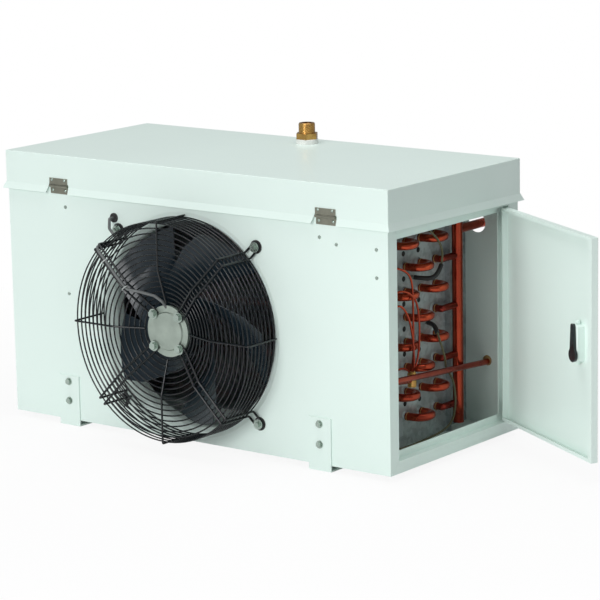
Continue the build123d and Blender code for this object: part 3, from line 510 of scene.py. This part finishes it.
def guard_rings(size):
    """Front rings, which fall back in a cone round the motor, and side rings."""
    half = size.wire / 2
    count = round((size.outer - size.inner) / size.ring_pitch)
    bm = bmesh.new()
    for index in range(count + 1):
        radius = size.inner + index * (size.outer - size.inner) / count
        flat = min(max((radius - size.tip) / (size.rise - size.tip), 0.0), 1.0)
        y = size.front + size.dish_depth * (1 - flat) + half
        add_ring(bm, (0, y, FAN_Z * MM), FAN_AXIS, radius, half, RING_STEPS, RING_SIDES)
    keep(from_bmesh("guard_front", bm), "cabinet", "wire_coat",
         ("guard_front_rings",))
    bm = bmesh.new()
    for index in range(1, size.side_rings + 1):
        y = size.front + index * size.side_pitch + half
        add_ring(bm, (0, y, FAN_Z * MM), FAN_AXIS, size.outer, half, RING_STEPS, RING_SIDES)
    keep(from_bmesh("guard_side", bm), "cabinet", "wire_coat",
         ("guard_side_rings",))


def guard_struts(size):
    """Four spokes, and four arms that are each one wire bent round a foot."""
    over = size.strut / MM / 2
    front = size.front / MM - over
    dish = front + size.dish_depth / MM
    outside = (size.outer + size.wire / 2) / MM + over
    tip, rise = size.tip / MM, size.rise / MM
    spokes, arms = [], []
    for quarter in range(4):
        turn = quarter * 90
        spokes.append(rounded([
            turned_out(turn, out, 0, y) for out, y in (
                (SPOKE_START, dish), (rise, front), (outside, front), (outside, SPOKE_END_Y))]))
        turn += 45
        leg = [(ARM_START, dish), (tip, dish), (rise, front), (outside, front),
               (outside, -228.0), (outside + 3, FOOT_Y), (FOOT_OUT, FOOT_Y)]
        near = [turned_out(turn, out, ARM_HALF_GAP, y) for out, y in leg]
        far = [turned_out(turn, out, -ARM_HALF_GAP, y) for out, y in reversed(leg)]
        loop = []
        for degrees in (30, 60, 90, 120, 150):
            bend = math.radians(degrees)
            loop.append(turned_out(turn, FOOT_OUT + ARM_HALF_GAP * math.sin(bend),
                                   ARM_HALF_GAP * math.cos(bend), FOOT_Y))
        arms.append(rounded(near, 5.0) + loop + rounded(far, 5.0))
    keep(joined("guard_spoke_wires", spokes, size.spoke / 2), "cabinet", "wire_coat",
         ("guard_spokes",))
    keep(joined("guard_arm_wires", arms, size.strut / 2), "cabinet", "wire_coat",
         ("guard_arms",))


class OBJECT_OT_cooler_guard(bpy.types.Operator):
    """Smooth rings, spokes and arms of the fan guard"""

    bl_idname = "object.cooler_guard"
    bl_label = "Fan guard"
    bl_options = {"REGISTER", "UNDO"}

    def execute(self, context):
        size = context.scene.cooler_guard
        guard_rings(size)
        guard_struts(size)
        dress(("guard_feet", "cable_grommet"), "rubber")
        return {"FINISHED"}


# ---- coil --------------------------------------------------------------------------

BEND_OFFSET, BEND_SLEEVE = 10.0, 12.0
FLARE_PROFILE = ((10.6, 0.02), (9.8, 0.5), (8.8, 1.4), (8.5, 3.2), (8.0, 3.3))
BRAZE_PROFILE = ((8.0, 0.0), (8.7, 0.3), (8.7, 1.5), (8.0, 1.8))
BRAZE_OFFSET = 6.5
SLOT_RADIUS = 0.0056
SLOT_ROWS = {1: range(7), 2: range(0, 7, 2), 0: range(0, 7, 2)}
SIDE_SHEET_MIDDLE, SIDE_SHEET_SIZE = (364.0, 170.0, 237.0), (1.2, 98.0, 446.0)
GROMMET_PLACE = (416.0, 219.2, 144.0)
GROMMET_PROFILE = ((0.0, 0.0), (10.9, 0.0), (10.9, 2.6), (9.0, 3.2), (0.0, 3.2))
BRANCH_RADIUS, BRANCH_TURN_X, BRANCH_END_Y = 0.007, 402.5, 124.5


def tube_place(size, x, column, row):
    """The centre of a tube, at x in mm."""
    return Vector((x * MM, FIRST_TUBE_Y * MM + column * size.pitch,
                   FIRST_TUBE_Z * MM + row * size.pitch))


def add_bend(bm, size, start, end, out):
    """A half turn of tube from start to end, with a straight sleeve on each leg."""
    middle = (start + end) / 2
    ring = add_disc(bm, start, size.tube, 14, False)
    edges = list({edge for vert in ring for edge in vert.link_edges})
    axis = (start - middle).cross(Vector((out, 0, 0))).normalized()
    swept = bmesh.ops.spin(bm, geom=ring + edges, cent=middle, axis=axis, angle=math.pi, steps=14)
    last = [item for item in swept["geom_last"] if isinstance(item, bmesh.types.BMEdge)]
    for loop in (edges, last):
        more = bmesh.ops.extrude_edge_only(bm, edges=loop)
        moved = [item for item in more["geom"] if isinstance(item, bmesh.types.BMVert)]
        bmesh.ops.translate(bm, verts=moved, vec=(-out * BEND_SLEEVE * MM, 0, 0))


def return_bends(size):
    """Half turns that join the tubes in pairs at both ends of the coil."""
    right, left = [], []
    for row in range(0, ROWS, 2):
        right += [((0, row + 1), (1, row + 1)), ((2, row + 1), (3, row + 1)), ((1, row), (2, row))]
        left += [((column, row), (column, row + 1)) for column in range(COLUMNS)]
    for name, joins, out, end_x in (("right", right, 1, TUBE_END_RIGHT),
                                    ("left", left, -1, TUBE_END_LEFT)):
        x = end_x + out * BEND_OFFSET
        bm = bmesh.new()
        for first, second in joins:
            add_bend(bm, size, tube_place(size, x, *first), tube_place(size, x, *second), out)
        keep(from_bmesh("bends_" + name, bm), "cabinet", "copper_bends",
             ("return_bends_" + name,))


def tube_sheet_details(size):
    """Flared holes and braze rings of the right tube sheet, with black discs in its slots as
    painted shade for the dark inside of each slot.
    """
    flares, joints, slots = bmesh.new(), bmesh.new(), bmesh.new()
    for column in range(COLUMNS):
        for row in range(ROWS):
            hole = tube_place(size, SHEET_X, column, row)
            add_turned(flares, hole, (1, 0, 0), FLARE_PROFILE, 16)
            add_turned(joints, hole + Vector((BRAZE_OFFSET * MM, 0, 0)), (1, 0, 0),
                       BRAZE_PROFILE, 16)
    # near-black discs just proud of the sheet: painted shade standing in for the dark inside of
    # each punched slot
    for column, rows in SLOT_ROWS.items():
        for row in rows:
            slot = tube_place(size, SHEET_X + 0.1, column, row) + Vector((0, 0, size.pitch / 2))
            add_disc(slots, slot, SLOT_RADIUS, 20, True)
    keep(from_bmesh("tube_flares", flares), "cabinet", "galvanised")
    keep(from_bmesh("tube_joints", joints), "cabinet", "braze")
    keep(from_bmesh("sheet_slot_painted_shade", slots, smooth=False), "cabinet", "slot_painted_shade")


def side_sheet():
    """The sheet that closes the gap between the tube sheet and the rear wall."""
    bm = bmesh.new()
    bmesh.ops.create_cube(bm, size=1.0, matrix=(
        Matrix.Translation(Vector(SIDE_SHEET_MIDDLE) * MM)
        @ Matrix.Diagonal((*(Vector(SIDE_SHEET_SIZE) * MM), 1.0))))
    keep(from_bmesh("coil_side_sheet", bm, smooth=False), "cabinet", "galvanised")


def grommet():
    """The moulded ring where the liquid line leaves the rear wall."""
    bm = bmesh.new()
    add_turned(bm, Vector(GROMMET_PLACE) * MM, (0, 1, 0), GROMMET_PROFILE, 28)
    keep(from_bmesh("pipe_grommet", bm), "cabinet", "grommet_amber")


def branches(size):
    """Short pipes from every second tube of the rear column to the header."""
    column_y = FIRST_TUBE_Y + (COLUMNS - 1) * size.pitch / MM
    runs = []
    for row in range(0, ROWS, 2):
        z = FIRST_TUBE_Z + row * size.pitch / MM
        runs.append(rounded([(TUBE_END_RIGHT, column_y, z), (BRANCH_TURN_X, column_y, z),
                             (BRANCH_TURN_X, BRANCH_END_Y, z)], 9.0))
    keep(joined("branch_pipes", runs, BRANCH_RADIUS, 14), "cabinet", "copper_dark",
         ("header_branches",))


class OBJECT_OT_cooler_coil(bpy.types.Operator):
    """Smooth return bends, branches, and the details of the tube sheet"""

    bl_idname = "object.cooler_coil"
    bl_label = "Coil"
    bl_options = {"REGISTER", "UNDO"}

    def execute(self, context):
        size = context.scene.cooler_coil
        return_bends(size)
        tube_sheet_details(size)
        side_sheet()
        grommet()
        branches(size)
        dress(("coil_tubes",), "copper_dark")
        return {"FINISHED"}


# ---- pipes -------------------------------------------------------------------------

FEED_RUNS = (
    ((421, -56, 175), (430, -60, 196), (434.5, -64, 214), (434.5, -64, 330), (434.5, -68, 364),
     (433, -84, 380), (428, -108, 390), (416, -112, 388), (404, -92, 378), (397.5, -72, 374)),
    ((424, -52, 175), (434, -50, 192), (436, -44, 240), (436, -47, 300), (436, -64, 331),
     (432, -96, 345), (424, -116, 340), (412, -116, 310), (404, -98, 282), (397.5, -72, 274)),
    ((428, -58, 175), (436, -64, 194), (439, -70, 242), (439, -80, 280), (437, -95, 309),
     (432, -113, 321), (424, -124, 300), (414, -120, 240), (404, -100, 185), (397.5, -72, 174)),
    ((421, -60, 175), (418, -66, 186), (407, -92, 186), (403, -106, 150), (402, -100, 100),
     (400, -86, 80), (397.5, -72, 74)),
)
FEED_RADIUS = 0.0022


class OBJECT_OT_cooler_pipes(bpy.types.Operator):
    """Header, liquid line, distributor and feeds"""

    bl_idname = "object.cooler_pipes"
    bl_label = "Pipes"
    bl_options = {"REGISTER", "UNDO"}

    def execute(self, context):
        dress(("suction_header", "liquid_line"), "copper_pipe")
        dress(("inlet_cones",), "copper_bends")
        dress(("distributor", "drain_fitting"), "brass")
        keep(joined("feed_tubes", FEED_RUNS, FEED_RADIUS, 8, order=4, soft=6), "cabinet",
             "copper_pipe", ("capillaries",))
        return {"FINISHED"}


# ---- wiring ------------------------------------------------------------------------

BOOT_RUNS = (
    ((386.7, 3, 349), (398.7, 7, 348), (418, 22, 346), (421, 42, 354), (421, 52, 370)),
    ((386.7, 53, 249), (396.7, 50, 249), (414, 40, 246), (428, 26, 238)),
)
LEAD_RUNS = (
    ((421, 52, 370), (430, 46, 392), (437, 22, 424), (434, -4, 446), (420, -24, 470),
     (402, -70, 482), (408, -140, 482), (432, -190, 478)),
    ((428, 26, 238), (437, 22, 224), (438, 32, 200), (430, 50, 178), (412, 76, 158),
     (402, 98, 146), (411, 108, 120), (416, 106, 74), (412, 98, 40), (404, 74, 24),
     (404, 0, 20), (408, -90, 22), (416, -150, 36), (440, -190, 90), (446, -204, 300),
     (446, -206, 442)),
)
# the motor cable on the guard, as (turn, radius, sideways, depth), and then in the cabinet
CABLE_ON_GUARD = (
    (94, 47, 0, -283), (97, 60, 0, -290), (108, 74, 0, -295), (127, 95, 0, -301),
    (136, 114, 0, -308), (135, 130, 1, -312), (135, 150, 1, -312.5), (135, 190, 0, -312.5),
    (135, 214, 0, -313), (135, 222, 0, -308), (135, 223.5, 0, -296), (135, 224, 0, -262),
    (135, 230, 0, -244), (135, 258, 2, -241),
)
CABLE_INSIDE = (
    (-187, -236, 447.6), (-187, -213, 447.6), (-183, -206, 461.6), (-150, -203, 486),
    (0, -203, 492), (250, -203, 492), (390, -203, 484), (416, -206, 466),
)
TIE_PLACES = ((119, -308.0), (188, -311.0))
BOOT_RADIUS, LEAD_RADIUS, CABLE_RADIUS = 0.0046, 0.0022, 0.0030
TIE_RADIUS, TIE_THICK, TIE_SIDEWAYS = 0.0072, 0.0010, 4.2


class OBJECT_OT_cooler_wiring(bpy.types.Operator):
    """Heater leads, boots, motor cable and its ties"""

    bl_idname = "object.cooler_wiring"
    bl_label = "Wiring"
    bl_options = {"REGISTER", "UNDO"}

    def execute(self, context):
        dress(("heater_rods",), "zinc_steel")
        dress(("terminal_block",), "block_plastic")
        keep(joined("lead_boots", BOOT_RUNS, BOOT_RADIUS, 12), "cabinet", "rubber",
             ("heater_boots",))
        keep(joined("heater_lead_wires", LEAD_RUNS, LEAD_RADIUS, 8), "cabinet", "lead_sheath",
             ("heater_leads",))
        run = [turned_out(*point) for point in CABLE_ON_GUARD] + list(CABLE_INSIDE)
        keep(joined("cable", [rounded(run, 5.0)], CABLE_RADIUS, 12), "cabinet", "cable_sheath",
             ("motor_cable",))
        ties = bmesh.new()
        for out, y in TIE_PLACES:
            place = Vector(turned_out(135, out, TIE_SIDEWAYS, y)) * MM
            add_ring(ties, place, (-1, 0, 1), TIE_RADIUS, TIE_THICK, 28, 6)
        keep(from_bmesh("cable_ties", ties), "cabinet", "tie_nylon")
        return {"FINISHED"}


# ---- fittings ----------------------------------------------------------------------

RIVET_PROFILE = ((3.2, 0.0), (3.1, 0.7), (2.3, 1.4), (1.0, 1.7), (0.0, 1.75))
RIVET_ROWS = {"pan": (-225.5, 512.0), "cabinet": (-222.5, 491.0)}
HINGE_CENTRES, RIVET_SHIFT = (-332.5, 347.5), 17.0
THREAD_START, THREAD_PITCH, THREAD_TURNS = (8.0, 165.0, 588.0), 2.1, 8
THREAD_RADIUS, THREAD_HEIGHT = 0.0165, 0.0007


class OBJECT_OT_cooler_fittings(bpy.types.Operator):
    """Hinges and their rivets, drain outlet and latch"""

    bl_idname = "object.cooler_fittings"
    bl_label = "Fittings"
    bl_options = {"REGISTER", "UNDO"}

    def execute(self, context):
        for body, (y, z) in RIVET_ROWS.items():
            heads = bmesh.new()
            for x in HINGE_CENTRES:
                for shift in (-RIVET_SHIFT, RIVET_SHIFT):
                    add_turned(heads, Vector((x + shift, y, z)) * MM, (0, -1, 0),
                               RIVET_PROFILE, 14)
            keep(from_bmesh("hinge_rivets_" + body, heads), body, "zinc_steel")
        ridges = bmesh.new()
        for turn in range(THREAD_TURNS):
            place = (Vector(THREAD_START) + Vector((0, 0, turn * THREAD_PITCH))) * MM
            add_ring(ridges, place, (0, 0, 1), THREAD_RADIUS, THREAD_HEIGHT, 40, 6)
        keep(from_bmesh("drain_thread", ridges), "pan", "brass")
        dress(("drain_washer",), "white_plastic")
        dress(PAN_HINGE_NODES, "hinge_metal")
        dress(DOOR_HINGE_NODES, "hinge_zinc")
        dress(("latch_spindle", "latch_lever"), "black_moulding")
        return {"FINISHED"}


# ---- studio ------------------------------------------------------------------------

WHITE = (1.0, 1.0, 1.0, 1.0)
DOOR_SPOT_ANGLE, DOOR_SPOT_BLEND, DOOR_SPOT_SOFT = math.radians(5.2), 0.85, 0.25


def aimed(obj, place, aim):
    """Stand a lamp somewhere and turn it towards a point."""
    back = Vector(place) - Vector(aim)
    obj.matrix_world = Matrix.Translation(place) @ back.to_track_quat("Z", "Y").to_matrix().to_4x4()


def floor():
    """Pale paper that shows almost white to the camera and keeps the soft shadow."""
    f = Finish("floor_paper")
    f.set(base=(0.93, 0.93, 0.93), rough=0.8)
    path = f.node("ShaderNodeLightPath")
    seen = Link(f, path.outputs["Is Camera Ray"])
    distance = f.node("ShaderNodeVectorMath", {"operation": "LENGTH"}, {0: f.where()})
    far = f.spread(Link(f, distance.outputs["Value"]), 0.75, 1.6)
    bare = f.node("ShaderNodeEmission", {}, {"Color": WHITE, "Strength": 1.0})
    shown = f.node("ShaderNodeMixShader", {}, {
        0: seen * (0.90 + 0.10 * far), 1: f.shader.outputs[0], 2: bare.outputs[0]})
    f.put(f.output.inputs["Surface"], shown.outputs[0])
    bm = bmesh.new()
    bmesh.ops.create_grid(bm, x_segments=1, y_segments=1, size=30.0)
    paper = from_bmesh("floor", bm, smooth=False)
    paper.data.materials.append(f.material)


def soft_light(name, power, size, place, aim):
    data = bpy.data.lights.new(name, "AREA")
    data.energy = power
    data.shape = "RECTANGLE"
    data.size, data.size_y = size
    aimed(linked(name, data), place, aim)


def door_light(power):
    """A narrow soft spot that brings light onto the inside of the open door."""
    data = bpy.data.lights.new("door_light", "SPOT")
    data.energy = power
    data.spot_size = DOOR_SPOT_ANGLE
    data.spot_blend = DOOR_SPOT_BLEND
    data.shadow_soft_size = DOOR_SPOT_SOFT
    aimed(linked("door_light", data), (0.62, -7.0, 0.9), (0.715, 0.1, 0.31))


def room(scene, strength):
    """Soft light from all round, and white behind everything."""
    world = bpy.data.worlds.new("room")
    world.use_nodes = True
    tree = world.node_tree
    light = tree.nodes["Background"]
    light.inputs["Color"].default_value = (0.95, 0.98, 1.0, 1.0)
    light.inputs["Strength"].default_value = strength
    shown = tree.nodes.new("ShaderNodeBackground")
    shown.inputs["Color"].default_value = WHITE
    path = tree.nodes.new("ShaderNodeLightPath")
    mixer = tree.nodes.new("ShaderNodeMixShader")
    tree.links.new(path.outputs["Is Camera Ray"], mixer.inputs[0])
    tree.links.new(light.outputs[0], mixer.inputs[1])
    tree.links.new(shown.outputs[0], mixer.inputs[2])
    tree.links.new(mixer.outputs[0], tree.nodes["World Output"].inputs["Surface"])
    scene.world = world


def camera(scene, look):
    ahead = Vector((
        -math.sin(look.azimuth) * math.cos(look.elevation),
        math.cos(look.azimuth) * math.cos(look.elevation),
        -math.sin(look.elevation)))
    level = ahead.cross(Vector((0, 0, 1))).normalized()
    upright = level.cross(ahead)
    right = level * math.cos(look.roll) + upright * math.sin(look.roll)
    turn = Matrix((right, right.cross(ahead), -ahead)).transposed().to_4x4()
    data = bpy.data.cameras.new("camera")
    data.lens = look.lens
    data.sensor_width = 36.0
    obj = linked("camera", data)
    obj.matrix_world = Matrix.Translation(look.place) @ turn
    scene.camera = obj


class OBJECT_OT_cooler_studio(bpy.types.Operator):
    """Pale floor, soft lights and the camera"""

    bl_idname = "object.cooler_studio"
    bl_label = "Studio"
    bl_options = {"REGISTER", "UNDO"}

    def execute(self, context):
        scene = context.scene
        look = scene.cooler_studio
        floor()
        soft_light("key", look.key, (4.4, 3.2), (0.4, -9.2, 3.2), (0.2, 0.0, 0.3))
        soft_light("overhead", look.overhead, (3.0, 2.4), (0.2, -0.2, 3.4), (0.0, 0.0, 0.4))
        door_light(look.door)
        room(scene, look.sky)
        camera(scene, look)
        scene.view_settings.view_transform = "Standard"
        return {"FINISHED"}


class VIEW3D_PT_cooler(bpy.types.Panel):
    """Lists the steps and their settings"""

    bl_label = "Unit cooler"
    bl_idname = "VIEW3D_PT_cooler"
    bl_space_type = "VIEW_3D"
    bl_region_type = "UI"
    bl_category = "Cooler"

    def draw(self, context):
        for step in STEPS:
            self.layout.operator(step.bl_idname)
        for name, group in SETTINGS.items():
            box = self.layout.box()
            for key in group.__annotations__:
                box.prop(getattr(context.scene, name), key)


STEPS = (
    OBJECT_OT_cooler_cabinet, OBJECT_OT_cooler_guard, OBJECT_OT_cooler_motor,
    OBJECT_OT_cooler_coil, OBJECT_OT_cooler_pipes, OBJECT_OT_cooler_wiring,
    OBJECT_OT_cooler_fittings, OBJECT_OT_cooler_studio,
)
SETTINGS = {
    "cooler_cabinet": CabinetColours, "cooler_guard": GuardSizes, "cooler_coil": CoilSizes,
    "cooler_studio": StudioSettings,
}


def register():
    for name, group in SETTINGS.items():
        bpy.utils.register_class(group)
        setattr(bpy.types.Scene, name, bpy.props.PointerProperty(type=group))
    for step in STEPS:
        bpy.utils.register_class(step)
    bpy.utils.register_class(VIEW3D_PT_cooler)


def unregister():
    bpy.utils.unregister_class(VIEW3D_PT_cooler)
    for step in reversed(STEPS):
        bpy.utils.unregister_class(step)
    for name, group in SETTINGS.items():
        delattr(bpy.types.Scene, name)
        bpy.utils.unregister_class(group)


def main():
    register()
    for step in STEPS:
        group, name = step.bl_idname.split(".")
        getattr(getattr(bpy.ops, group), name)()


if __name__ == "__main__":
    main()
